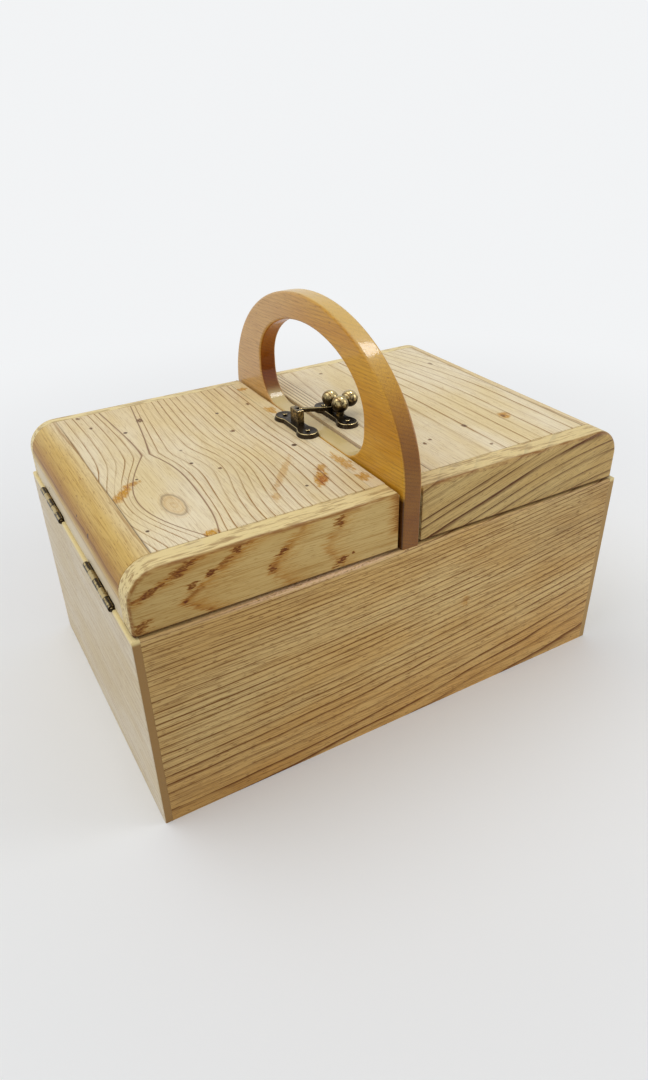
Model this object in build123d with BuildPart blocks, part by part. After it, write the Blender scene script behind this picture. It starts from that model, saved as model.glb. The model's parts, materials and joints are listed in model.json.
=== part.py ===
from build123d import *
from math import radians, tan
import os

# A two-lid sewing carrier. Millimetres. +X runs along the box, -Y is the front, +Z is up.
# The origin is the centre of the footprint, on the plane that the box stands on.

# ---- driving dimensions: box body ----
body_length = 270.0  # outside, end wall to end wall
body_width = 178.0  # outside, front wall to back wall
body_height = 108.5
side_wall = 8.0  # thickness of the front and back walls
end_wall = 8.0  # thickness of the end walls
end_lip = 3.7  # what the corner rebate leaves of an end wall, seen from the front
wall_ease = 0.8  # rounding of the outer top edges and corners of the body
bottom_thickness = 4.0
bottom_rise = 5.0  # underside of the bottom panel above the table
bottom_groove = 3.5  # depth of the groove that holds the bottom panel
glue_gap = 0.05  # clearance of each glued joint, on each side

# ---- driving dimensions: handle board ----
handle_thickness = 10.0
handle_rise = 68.5  # crown of the arch above the lids
handle_housing = 3.0  # depth of the grooves that hold the board in the side walls
grip_half_width = 54.7  # half the width of the hand opening
grip_spring = 22.5  # height above the sill at which the sides of the opening start to arch
grip_arch = 32.7  # rise of the opening's arch above that height
grip_corner = 18.0  # rounding of the two lower corners of the opening
sill_drop = 0.4  # sill of the opening below the lid tops
handle_ease = 1.3  # rounding of the arch's long edges

# ---- driving dimensions: lids ----
lid_height = 28.9
lid_gap = 0.6  # between a closed lid and the top of the walls
lid_end_inset = 1.6  # lid's outer end inside the body's end
lid_side_inset = 1.2  # lid's long faces inside the body's long faces
lid_handle_gap = 1.2  # between a lid's inner end and the handle board
lid_round = 15.0  # radius of the lid's outer top end
lid_ease = 2.4  # rounding of the long outer edges
side_rail = {"front": 12.2, "back": 7.2}  # thickness of a lid's long rails
end_block = 15.3  # thickness of the rounded end block
inner_rail = {"left": 7.2, "right": 13.0}  # thickness of the rail beside the handle
panel_thickness = 8.0
panel_tongue = 3.0  # height of the tongue round the panel's lower edge
panel_groove = 3.5  # depth of the groove that the tongue enters
panel_seam = 0.12  # open line round the panel's visible face

# ---- driving dimensions: hinges ----
hinge_length = 40.0
hinge_setback = 26.0  # from the body's front or back face to the leaf's end
leaf_width = 7.0  # from the pin's axis to the leaf's edge
leaf_thickness = 0.9
leaf_gap = 0.3  # between the two closed leaves
mortise_gap = 0.1  # round a leaf in its recess
knuckle_radius = 1.6
knuckle_count = 5
knuckle_play = 0.2  # between neighbouring knuckles
knuckle_relief = 0.3  # between a knuckle and the wood or leaf beside it
hinge_axis_inset = 0.2  # pin's axis inside the body's end face
hinge_pin_radius = 0.8
hinge_pin_fit = 0.04  # radial clearance of the pin in the knuckles
hinge_pin_head = 0.5  # how far a pin's domed end stands out of the knuckles
hinge_screw_spacing = 22.0
hinge_screw_offset = 4.6  # from the pin's axis to the screws

# ---- driving dimensions: wood screws of the hinges ----
screw_radius = 0.8
screw_length = 9.0
screw_head_radius = 1.55
screw_head_angle = 82.0
screw_slot = 0.5  # width of the driver slot
screw_slot_depth = 0.35
screw_fit = 0.03  # radial clearance of a shank in its hole

# ---- driving dimensions: latch ----
latch_offset = 4.0  # latch's centre line behind the middle of the box
plate_thickness = 2.4
plate_length = 37.4
plate_lobe = 5.9  # radius of a plate's round ends
plate_waist = 8.6  # width of a plate between them
plate_slope = 20.0  # lean of a plate's sides, in degrees
plate_edge_radius = 0.4
keeper_overhang = 2.5  # the left plate's round ends pass the lid's edge by this much, over the low sill
post_thickness = 3.9
post_width = 8.5
post_height = 10.0  # above the lid
post_setback = 1.5  # from the plate's waist to the post
post_back = 1.5  # wall behind the slot
post_slot_gap = 0.3  # beside the lever's nose, on each side
tenon_radius = 1.1
latch_plate_setback = 8.3  # from the right lid's inner edge to the middle of its plate
ball_radius = 4.6
ball_spacing = 10.2  # between the middles of the two ball posts
ball_height = 9.2  # middle of each ball above the lid
neck_radius = 2.6
post_flange_radius = 3.3
post_flange = 0.35
lever_pivot_height = 4.2
lever_bar = 2.5  # depth of the lever's bar
lever_width = 1.8
lever_bar_start = 5.0  # height of the bar's middle line above the pivot's foot
lever_nose_reach = 1.6  # nose tip past the left lid's inner edge
lever_nose_height = 8.9  # middle of the nose above the lid
lever_hub_radius = 1.3
lever_hub_play = 0.3  # between the hub and each ball post
knob_reach = 9.1  # knob's middle right of the pivot
knob_height = 8.9  # knob's middle above the lid
lever_pin_radius = 0.7
lever_pin_fit = 0.04
lever_pin_end = 0.3  # from a pin's end to the outside of the neck
plate_pin_radius = 0.7
plate_pin_head_radius = 1.3
plate_pin_head = 0.6
plate_pin_crown = 0.5  # rounding of the pins' heads
plate_pin_length = 6.0
plate_pin_end_play = 0.2  # below a pin in its hole
plate_round = 5.0  # hollow rounding where a plate's waist meets its round ends

# ---- worked out from the driving dimensions ----
half_length = body_length / 2
half_width = body_width / 2
inner_half_length = half_length - end_wall
inner_half_width = half_width - side_wall
bottom_top = bottom_rise + bottom_thickness
lid_bottom = body_height + lid_gap
lid_top = lid_bottom + lid_height
lid_half_width = half_width - lid_side_inset
lid_outer = half_length - lid_end_inset
lid_inner = handle_thickness / 2 + lid_handle_gap
panel_bottom = lid_top - panel_thickness
sill = lid_top - sill_drop
hinge_x = half_length - hinge_axis_inset
hinge_z = body_height + lid_gap / 2
hinge_spread = half_width - hinge_setback - hinge_length / 2  # middle of the end to the middle of a hinge
hinge_places = [-hinge_spread, hinge_spread]
pitch = hinge_length / knuckle_count
sides = {"left": -1, "right": 1}
keeper_x = -(lid_inner + plate_lobe - keeper_overhang)
latch_x = lid_inner + latch_plate_setback
post_x = keeper_x + plate_waist / 2 - post_setback - post_thickness / 2
slot_start = post_x - post_thickness / 2 + post_back
plate_reach = plate_length / 2 - plate_lobe
plate_pins = {
    side: [(x, latch_offset - plate_reach), (x, latch_offset + plate_reach)]
    for side, x in ((-1, keeper_x), (1, latch_x))
}
plate_top = lid_top + plate_thickness
pivot_z = lid_top + lever_pivot_height


def save(piece, name):
    """Labels a finished piece and writes it."""
    piece.part.label = name
    export_step(piece.part, f"parts/{name}.step")


def x_span(side, near, far):
    """The middle and the length of a stretch along X, given as distances from the middle of the box."""
    return side * (near + far) / 2, far - near


# ---- hinge helpers: the same places serve leaves, mortises, screws and holes ----
def screw_places(side):
    """The hinge screws of one end, seen from above."""
    x = side * (hinge_x - hinge_screw_offset)
    return [(x, y + dy) for y in hinge_places for dy in (-hinge_screw_spacing / 2, hinge_screw_spacing / 2)]


def mortise_tool(side, low, high):
    """What a wall or a lid loses at one end: leaf recesses between two heights, and knuckle room."""
    leaf_x, leaf_long = x_span(side, hinge_x - leaf_width - mortise_gap, half_length + knuckle_radius)
    room = knuckle_radius + knuckle_relief
    room_x, room_long = x_span(side, hinge_x - room, half_length + room)
    with BuildPart() as tool:
        with BuildSketch(Plane.XY.offset(low)):
            with Locations(*[(leaf_x, y) for y in hinge_places]):
                Rectangle(leaf_long, hinge_length + 2 * mortise_gap)
        extrude(amount=high - low)
        with BuildSketch(Plane.XY.offset(hinge_z - room)):
            with Locations(*[(room_x, y) for y in hinge_places]):
                Rectangle(room_long, hinge_length + 2 * (hinge_pin_head + mortise_gap))
        extrude(amount=2 * room)
    return tool.part


# ---- body: front and back walls ----
def make_side_wall(name, face):
    """A long wall; face is -1 for the front and 1 for the back."""
    length = body_length - 2 * (end_lip + glue_gap)
    middle = face * (half_width - side_wall / 2)
    inside = face * inner_half_width
    with BuildPart() as wall:
        with BuildSketch(Plane.XY):
            with Locations((0, middle)):
                Rectangle(length, side_wall)
        extrude(amount=body_height)
        # groove for the bottom panel
        with BuildSketch(Plane.XY.offset(bottom_rise - glue_gap)):
            with Locations((0, inside)):
                Rectangle(2 * (inner_half_length + bottom_groove), 2 * bottom_groove)
        extrude(amount=bottom_thickness + 2 * glue_gap, mode=Mode.SUBTRACT)
        # housing for the handle board
        with BuildSketch(Plane.XY.offset(bottom_top)):
            with Locations((0, inside)):
                Rectangle(handle_thickness + 2 * glue_gap, 2 * handle_housing)
        extrude(amount=body_height, mode=Mode.SUBTRACT)
        outer = wall.faces().sort_by(Axis.Y)[-1 if face > 0 else 0]
        fillet(outer.edges().sort_by(Axis.Z)[-1], wall_ease)
    save(wall, name)


make_side_wall("front_wall", -1)
make_side_wall("back_wall", 1)


# ---- body: end walls, rebated over the ends of the side walls ----
def make_end_wall(name, side):
    """A short wall with its hinge recesses and screw holes."""
    middle, thick = x_span(side, inner_half_length, half_length)
    notch, notch_long = x_span(side, inner_half_length - 1, half_length - end_lip)
    recess = mortise_tool(side, hinge_z - leaf_gap / 2 - leaf_thickness - mortise_gap, body_height + lid_gap)
    with BuildPart() as wall:
        with BuildSketch(Plane.XY):
            with Locations((middle, 0)):
                Rectangle(thick, body_width)
            with Locations((notch, -half_width), (notch, half_width)):
                Rectangle(notch_long, 2 * (side_wall + glue_gap), mode=Mode.SUBTRACT)
        extrude(amount=body_height)
        outer = wall.faces().sort_by(Axis.X)[-1 if side > 0 else 0]
        fillet([e for e in outer.edges() if e.center().Z > 0], wall_ease)
        # groove for the bottom panel
        with BuildSketch(Plane.XY.offset(bottom_rise - glue_gap)):
            with Locations((side * inner_half_length, 0)):
                Rectangle(2 * bottom_groove, 2 * inner_half_width)
        extrude(amount=bottom_thickness + 2 * glue_gap, mode=Mode.SUBTRACT)
        add(recess, mode=Mode.SUBTRACT)
        with Locations(*[(x, y, body_height) for x, y in screw_places(side)]):
            Hole(screw_radius + screw_fit, depth=screw_length + lid_gap)
    save(wall, name)


for end, direction in sides.items():
    make_end_wall(f"{end}_end_wall", direction)

# ---- body: bottom panel, held in the grooves ----
with BuildPart() as bottom_panel:
    with BuildSketch(Plane.XY.offset(bottom_rise)):
        reach = bottom_groove - glue_gap
        Rectangle(2 * (inner_half_length + reach), 2 * (inner_half_width + reach))
    extrude(amount=bottom_thickness)
save(bottom_panel, "bottom_panel")

# ---- handle board: a divider between the two compartments that rises into the carrying arch ----
with BuildPart() as handle_board:
    with BuildSketch(Plane.YZ.offset(-handle_thickness / 2)):
        with BuildLine():
            arch = EllipticalCenterArc((0, lid_top), half_width, handle_rise, arc_size=180)
            Line(arch @ 1, (-half_width, body_height))
            Line((-half_width, body_height), (half_width, body_height))
            Line((half_width, body_height), arch @ 0)
        make_face()
    extrude(amount=handle_thickness)
    with BuildSketch(Plane.YZ.offset(-handle_thickness / 2)) as grip:
        with BuildLine():
            crown = EllipticalCenterArc((0, sill + grip_spring), grip_half_width, grip_arch, arc_size=180)
            Polyline(
                crown @ 1,
                (-grip_half_width, sill),
                (grip_half_width, sill),
                crown @ 0,
            )
        make_face()
        fillet(grip.vertices().group_by(Axis.Y)[0], grip_corner)
    extrude(amount=handle_thickness, mode=Mode.SUBTRACT)
    long_edges = handle_board.faces().filter_by(Axis.X).edges()
    fillet([e for e in long_edges if e.center().Z > body_height + glue_gap], handle_ease)
    # the part below the shoulders fits between the side walls
    with BuildSketch(Plane.YZ.offset(-handle_thickness / 2)):
        with Locations((0, (bottom_top + body_height) / 2)):
            Rectangle(2 * (inner_half_width + handle_housing - glue_gap), body_height - bottom_top)
    extrude(amount=handle_thickness)
save(handle_board, "handle_board")


# ---- lids ----
def stands_free(point):
    """Whether an edge's middle lies neither on a lid's underside nor on its inner end."""
    return point.Z > lid_bottom + glue_gap and abs(point.X) > lid_inner + glue_gap


def inner_rail_of(side):
    """The thickness of the rail beside the handle on one side of the box."""
    return inner_rail["left" if side < 0 else "right"]


def between_rails(gap):
    """The middle and the length, along Y, of what stands between a lid's long rails with a gap at each."""
    front = -lid_half_width + side_rail["front"] + gap
    back = lid_half_width - side_rail["back"] - gap
    return (front + back) / 2, back - front


def make_side_rail(name, side, row):
    """A lid's long rail with its rounded outer end; row is front or back."""
    middle, length = x_span(side, lid_inner, lid_outer)
    with BuildPart() as rail:
        with BuildSketch(Plane.XZ.offset(lid_half_width)) as outline:
            with Locations((middle, (lid_bottom + lid_top) / 2)):
                Rectangle(length, lid_height)
            round_end = outline.vertices().group_by(Axis.Y)[-1].sort_by(Axis.X)[0 if side < 0 else -1]
            fillet(round_end, lid_round)
        extrude(amount=-side_rail[row])
        outer = rail.faces().sort_by(Axis.Y)[0]
        eased = [edge for edge in outer.edges() if stands_free(edge.center())]
        fillet(eased, lid_ease)
        # groove for the panel's tongue
        groove_near = lid_inner + inner_rail_of(side) - panel_groove
        groove_x, groove_long = x_span(side, groove_near, lid_outer - end_block + panel_groove)
        with BuildSketch(Plane.XY.offset(panel_bottom - glue_gap)):
            with Locations((groove_x, -lid_half_width + side_rail[row])):
                Rectangle(groove_long, 2 * panel_groove)
        extrude(amount=panel_tongue + 2 * glue_gap, mode=Mode.SUBTRACT)
        if row == "back":
            mirror(about=Plane.XZ, mode=Mode.REPLACE)
    save(rail, name)


def make_end_block(name, side):
    """The rounded block at a lid's outer end, over the hinges."""
    middle, thick = x_span(side, lid_outer - end_block, lid_outer)
    middle_y, wide = between_rails(glue_gap)
    recess = mortise_tool(side, body_height, hinge_z + leaf_gap / 2 + leaf_thickness + mortise_gap)
    with BuildPart() as block:
        with BuildSketch(Plane.XZ.offset(wide / 2 - middle_y)) as outline:
            with Locations((middle, (lid_bottom + lid_top) / 2)):
                Rectangle(thick, lid_height)
            round_end = outline.vertices().group_by(Axis.Y)[-1].sort_by(Axis.X)[0 if side < 0 else -1]
            fillet(round_end, lid_round)
        extrude(amount=-wide)
        with BuildSketch(Plane.XY.offset(panel_bottom - glue_gap)):
            with Locations((side * (lid_outer - end_block), middle_y)):
                Rectangle(2 * panel_groove, wide)
        extrude(amount=panel_tongue + 2 * glue_gap, mode=Mode.SUBTRACT)
        add(recess, mode=Mode.SUBTRACT)
        with Locations(*[(x, y, lid_bottom + screw_length) for x, y in screw_places(side)]):
            Hole(screw_radius + screw_fit, depth=screw_length + lid_gap)
    save(block, name)


def make_inner_rail(name, side):
    """The rail that closes a lid's inner end, beside the handle."""
    middle, thick = x_span(side, lid_inner, lid_inner + inner_rail_of(side))
    middle_y, wide = between_rails(glue_gap)
    with BuildPart() as rail:
        with BuildSketch(Plane.XY.offset(lid_bottom)):
            with Locations((middle, middle_y)):
                Rectangle(thick, wide)
        extrude(amount=lid_height)
        with BuildSketch(Plane.XY.offset(panel_bottom - glue_gap)):
            with Locations((side * (lid_inner + inner_rail_of(side)), middle_y)):
                Rectangle(2 * panel_groove, wide)
        extrude(amount=panel_tongue + 2 * glue_gap, mode=Mode.SUBTRACT)
        hole_depth = plate_pin_length + plate_pin_end_play - plate_thickness
        with Locations(*[(x, y, lid_top) for x, y in plate_pins[side]]):
            Hole(plate_pin_radius + screw_fit, depth=hole_depth)
    save(rail, name)


def make_panel(name, side):
    """The flush panel of a lid, with a tongue round its lower edge."""
    near = lid_inner + inner_rail_of(side)
    far = lid_outer - end_block
    middle, length = x_span(side, near + panel_seam, far - panel_seam)
    middle_y, wide = between_rails(panel_seam)
    reach = panel_groove - glue_gap
    with BuildPart() as panel:
        with BuildSketch(Plane.XY.offset(panel_bottom)):
            with Locations((middle, middle_y)):
                Rectangle(length, wide)
        extrude(amount=panel_thickness)
        middle_y, wide = between_rails(-reach)
        with BuildSketch(Plane.XY.offset(panel_bottom)):
            with Locations((middle, middle_y)):
                Rectangle(far - near + 2 * reach, wide)
        extrude(amount=panel_tongue)
    save(panel, name)


for end, direction in sides.items():
    make_side_rail(f"{end}_lid_front_rail", direction, "front")
    make_side_rail(f"{end}_lid_back_rail", direction, "back")
    make_end_block(f"{end}_lid_end_block", direction)
    make_inner_rail(f"{end}_lid_inner_rail", direction)
    make_panel(f"{end}_lid_panel", direction)


# ---- hinges: a leaf on the wall, a leaf under the lid, and a pin through their knuckles ----
def make_hinge(name, side, y):
    """One butt hinge at a place along an end; its knuckles alternate between the two leaves."""
    starts = [y - hinge_length / 2 + k * pitch for k in range(knuckle_count)]
    leaf_x, leaf_long = x_span(side, hinge_x - leaf_width, hinge_x)
    clear = knuckle_radius + knuckle_relief
    for leaf, away, first in (("wall", -1, 0), ("lid", 1, 1)):
        face = hinge_z + away * leaf_gap / 2
        turn = 180 if leaf == "lid" else 0
        with BuildPart() as hinge_leaf:
            with BuildSketch(Plane.XY.offset(face)):
                with Locations((leaf_x, y)):
                    Rectangle(leaf_long, hinge_length)
            extrude(amount=away * leaf_thickness)
            # room for the other leaf's knuckles
            with BuildSketch(Plane.XY.offset(hinge_z - clear)):
                with Locations(*[(side * hinge_x, s + pitch / 2) for s in starts[1 - first :: 2]]):
                    Rectangle(2 * clear, pitch + knuckle_play)
            extrude(amount=2 * clear, mode=Mode.SUBTRACT)
            for start in starts[first::2]:
                with BuildSketch(Plane.XZ.offset(-(start + knuckle_play / 2))):
                    with Locations((side * hinge_x, hinge_z)):
                        Circle(knuckle_radius)
                extrude(amount=-(pitch - knuckle_play))
            with BuildSketch(Plane.XZ.offset(-(y - hinge_length))):
                with Locations((side * hinge_x, hinge_z)):
                    Circle(hinge_pin_radius + hinge_pin_fit)
            extrude(amount=-2 * hinge_length, mode=Mode.SUBTRACT)
            screws = [(sx, sy) for sx, sy in screw_places(side) if abs(sy - y) < hinge_length / 2]
            bore, head = screw_radius + screw_fit, screw_head_radius + screw_fit
            with Locations(*[Location((sx, sy, face), (turn, 0, 0)) for sx, sy in screws]):
                CounterSinkHole(bore, head, 2 * leaf_thickness, screw_head_angle)
        save(hinge_leaf, f"{name}_{leaf}_leaf")
    with BuildPart() as pin:
        with BuildSketch(Plane.XZ.offset(-(y - hinge_length / 2 - hinge_pin_head))):
            with Locations((side * hinge_x, hinge_z)):
                Circle(hinge_pin_radius)
        extrude(amount=-(hinge_length + 2 * hinge_pin_head))
        fillet(pin.edges().filter_by(GeomType.CIRCLE), hinge_pin_head)
    save(pin, f"{name}_pin")


for end, direction in sides.items():
    make_hinge(f"{end}_front_hinge", direction, -hinge_spread)
    make_hinge(f"{end}_back_hinge", direction, hinge_spread)

# ---- countersunk wood screws, one group for each row of leaves ----
with BuildPart() as screw:
    with BuildSketch(Plane.XZ):
        with BuildLine():
            head_depth = (screw_head_radius - screw_radius) / tan(radians(screw_head_angle / 2))
            Polyline(
                (0, 0),
                (screw_head_radius, 0),
                (screw_radius, -head_depth),
                (screw_radius, 2 * screw_radius - screw_length),
                (0, -screw_length),
                (0, 0),
            )
        make_face()
    revolve(axis=Axis.Z)
    with BuildSketch(Plane.XY):
        Rectangle(2 * screw_head_radius, screw_slot)
    extrude(amount=-screw_slot_depth, mode=Mode.SUBTRACT)


def make_screws(name, side, height, turn):
    """The hinge screws of one end with their heads at a height; turn 180 drives them upward."""
    with BuildPart() as screws:
        with Locations(*[Location((x, y, height), (turn, 0, 0)) for x, y in screw_places(side)]):
            add(screw.part)
    save(screws, name)


for end, direction in sides.items():
    make_screws(f"{end}_hinge_wall_screws", direction, hinge_z - leaf_gap / 2, 0)
    make_screws(f"{end}_hinge_lid_screws", direction, hinge_z + leaf_gap / 2, 180)


# ---- latch ----
def nose_slot(bottom, height):
    """The tool for the slot that the lever's nose lies in, open above and towards the handle."""
    length = keeper_x + plate_waist - slot_start
    with BuildPart(mode=Mode.PRIVATE) as slot:
        with BuildSketch(Plane.XY.offset(bottom)):
            with Locations((slot_start + length / 2, latch_offset)):
                Rectangle(length, lever_width + 2 * post_slot_gap)
        extrude(amount=height)
    return slot.part


def make_plate(name, side, x, tenons, slot=None):
    """A two-lobed plate with sloping sides, with holes for its pins and for what stands on it."""
    with BuildPart() as plate:
        with BuildSketch(Plane.XY.offset(lid_top)) as outline:
            with Locations((x, latch_offset)):
                Rectangle(plate_waist, 2 * plate_reach)
            with Locations(*plate_pins[side]):
                Circle(plate_lobe)
            hollows = [v for v in outline.vertices() if abs(v.Y - latch_offset) < plate_reach]
            fillet(hollows, plate_round)
        extrude(amount=plate_thickness, taper=plate_slope)
        fillet(plate.faces().sort_by(Axis.Z)[-1].edges(), plate_edge_radius)
        with Locations(*[(px, py, plate_top) for px, py in plate_pins[side]]):
            Hole(plate_pin_radius + screw_fit, depth=plate_thickness)
        with Locations(*[(tx, ty, plate_top) for tx, ty in tenons]):
            Hole(tenon_radius + screw_fit, depth=plate_thickness)
        if slot:
            add(slot, mode=Mode.SUBTRACT)
    save(plate, name)


def make_plate_pins(name, side):
    """The dome-headed pins that hold a plate down."""
    with BuildPart() as pins:
        for px, py in plate_pins[side]:
            with BuildSketch(Plane.XY.offset(plate_top)):
                with Locations((px, py)):
                    Circle(plate_pin_head_radius)
            extrude(amount=plate_pin_head)
            with BuildSketch(Plane.XY.offset(plate_top)):
                with Locations((px, py)):
                    Circle(plate_pin_radius)
            extrude(amount=-plate_pin_length)
        crowns = pins.edges().filter_by(GeomType.CIRCLE).group_by(Axis.Z)[-1]
        fillet(crowns, plate_pin_crown)
    save(pins, name)


ball_places = [(latch_x, latch_offset - ball_spacing / 2), (latch_x, latch_offset + ball_spacing / 2)]
make_plate("keeper_plate", -1, keeper_x, [(post_x, latch_offset)], nose_slot(lid_top, plate_thickness))
make_plate("latch_plate", 1, latch_x, ball_places)
make_plate_pins("keeper_plate_pins", -1)
make_plate_pins("latch_plate_pins", 1)

# forked post that takes the lever's nose
post_slot = nose_slot(plate_top, post_height)
with BuildPart() as keeper_post:
    with BuildSketch(Plane.XY.offset(plate_top)):
        with Locations((post_x, latch_offset)):
            Rectangle(post_thickness, post_width)
    extrude(amount=post_height - plate_thickness)
    fillet(keeper_post.edges().filter_by(Axis.Z), plate_edge_radius)
    fillet(keeper_post.faces().sort_by(Axis.Z)[-1].edges(), plate_edge_radius)
    add(post_slot, mode=Mode.SUBTRACT)
    with BuildSketch(Plane.XY.offset(lid_top)):
        with Locations((post_x, latch_offset)):
            Circle(tenon_radius)
    extrude(amount=plate_thickness)
save(keeper_post, "keeper_post")


def make_ball_post(name, place):
    """A turned post with a ball top, cross-drilled for the lever's pin."""
    x, y = place
    with BuildPart() as post:
        with BuildSketch(Plane.XY.offset(plate_top)):
            with Locations((x, y)):
                Circle(post_flange_radius)
        extrude(amount=post_flange)
        with BuildSketch(Plane.XY.offset(plate_top)):
            with Locations((x, y)):
                Circle(neck_radius)
        extrude(amount=ball_height - plate_thickness)
        with BuildSketch(Plane.XY.offset(lid_top)):
            with Locations((x, y)):
                Circle(tenon_radius)
        extrude(amount=plate_thickness)
        with Locations((x, y, lid_top + ball_height)):
            Sphere(ball_radius)
        with BuildSketch(Plane.XZ.offset(-(y - ball_spacing))):
            with Locations((x, pivot_z)):
                Circle(lever_pin_radius + lever_pin_fit)
        extrude(amount=-2 * ball_spacing, mode=Mode.SUBTRACT)
    save(post, name)


make_ball_post("front_ball_post", ball_places[0])
make_ball_post("back_ball_post", ball_places[1])

# lever between the ball posts: its nose lies in the keeper post, its other end carries the knob
nose = (-lid_inner - lever_nose_reach + lever_bar / 2, lid_top + lever_nose_height)
elbow = (latch_x, lid_top + lever_bar_start)
knob = (latch_x + knob_reach, lid_top + knob_height)
with BuildPart() as latch_lever:
    with BuildSketch(Plane.XZ.offset(-(latch_offset - lever_width / 2))):
        with BuildLine():
            Polyline(nose, elbow, knob)
        trace(line_width=lever_bar)
        with Locations(nose, elbow):
            Circle(lever_bar / 2)
    extrude(amount=-lever_width)
    hub_length = ball_spacing - 2 * (neck_radius + lever_hub_play)
    with BuildSketch(Plane.XZ.offset(-(latch_offset - hub_length / 2))):
        with Locations((latch_x, pivot_z)):
            Circle(lever_hub_radius)
    extrude(amount=-hub_length)
    with BuildSketch(Plane.XZ.offset(-(latch_offset - hub_length / 2))):
        with Locations((latch_x, pivot_z)):
            Circle(lever_pin_radius + lever_pin_fit)
    extrude(amount=-hub_length, mode=Mode.SUBTRACT)
save(latch_lever, "latch_lever")

with BuildPart() as lever_knob:
    with Locations((knob[0], latch_offset, knob[1])):
        Sphere(ball_radius)
    add(latch_lever.part, mode=Mode.SUBTRACT)
save(lever_knob, "lever_knob")

with BuildPart() as lever_pin:
    pin_half = ball_spacing / 2 + neck_radius - lever_pin_end
    with BuildSketch(Plane.XZ.offset(-(latch_offset - pin_half))):
        with Locations((latch_x, pivot_z)):
            Circle(lever_pin_radius)
    extrude(amount=-2 * pin_half)
save(lever_pin, "lever_pin")
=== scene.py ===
"""A wooden sewing carrier with two lids, dressed round its packed construction.

Everything is in metres in the object's own frame: +X runs along the box, -Y is the front and +Z is up.
The wood is a solid texture. Each board has its own figure, a formula of the place in millimetres that
counts growth rings, so the lines go round knots, over rounded edges and through to the end grain.
"""

import json
from functools import reduce
from math import pi, radians

import bpy
import numpy as np
from bpy.props import FloatProperty, FloatVectorProperty, PointerProperty
from bpy.types import Operator, Panel, PropertyGroup
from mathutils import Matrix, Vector


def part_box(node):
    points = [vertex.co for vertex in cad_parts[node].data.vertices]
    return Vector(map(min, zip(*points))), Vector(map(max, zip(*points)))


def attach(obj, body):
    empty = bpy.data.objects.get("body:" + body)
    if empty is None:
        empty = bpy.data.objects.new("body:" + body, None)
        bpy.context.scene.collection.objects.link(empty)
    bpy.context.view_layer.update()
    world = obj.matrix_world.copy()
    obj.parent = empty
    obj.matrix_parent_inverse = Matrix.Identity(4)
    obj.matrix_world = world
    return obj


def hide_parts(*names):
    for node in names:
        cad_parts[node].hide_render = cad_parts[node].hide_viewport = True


bl_info = {
    "name": "Sewing carrier",
    "version": (1, 0, 0),
    "blender": (4, 5, 0),
    "location": "3D View > Sidebar > Carrier",
    "description": "Dresses a sewing carrier with two lids in varnished wood and antique brass",
    "category": "Object",
}

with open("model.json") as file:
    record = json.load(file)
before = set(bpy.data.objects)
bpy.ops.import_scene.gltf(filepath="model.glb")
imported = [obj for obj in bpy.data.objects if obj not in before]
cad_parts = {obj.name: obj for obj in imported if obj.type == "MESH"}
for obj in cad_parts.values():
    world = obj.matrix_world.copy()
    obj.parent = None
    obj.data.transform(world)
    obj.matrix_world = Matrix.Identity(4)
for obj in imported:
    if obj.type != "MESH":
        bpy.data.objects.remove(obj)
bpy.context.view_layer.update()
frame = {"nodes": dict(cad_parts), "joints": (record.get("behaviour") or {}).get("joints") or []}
nodes = frame["nodes"]
MM = 0.001


def node_box(name):
    """The low and high corners of a CAD node, in millimetres."""
    return [np.array(corner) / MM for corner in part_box(name)]


# places that the figures and the new pieces share, in millimetres, taken from the frame
LID_TOP = node_box("left_lid_panel")[1][2]
LID_FRONT, LID_BOTTOM = node_box("left_lid_front_rail")[0][1:]
BODY_FRONT = node_box("front_wall")[0][1]
BODY_TOP = node_box("front_wall")[1][2]
BODY_END = node_box("left_end_wall")[0][0]
BLOCK_SEAM = node_box("right_lid_end_block")[0][0]
LEFT_INNER_SEAM = node_box("left_lid_inner_rail")[0][0]
RIGHT_INNER_SEAM = node_box("right_lid_inner_rail")[1][0]
LID_ROUND = 15.0


# ---- patterns written as formulas ----
def plug(tree, value, target):
    """Feed a socket from a field or a socket, or set it to a constant."""
    if isinstance(value, Field):
        value = value.socket
    if isinstance(value, bpy.types.NodeSocket):
        tree.links.new(value, target)
    else:
        target.default_value = value


def add_node(tree, kind, inputs=None, **settings):
    """Add a shader node of a kind, set its properties, and feed its inputs by name or number."""
    node = tree.nodes.new(f"ShaderNode{kind}")
    for setting, value in settings.items():
        setattr(node, setting, value)
    for socket, value in (inputs or {}).items():
        plug(tree, value, node.inputs[socket])
    return node


def add_field(tree, kind, inputs, output=0, **settings):
    """Add a shader node and give one of its outputs as a field."""
    return Field(tree, add_node(tree, kind, inputs, **settings).outputs[output])


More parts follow.
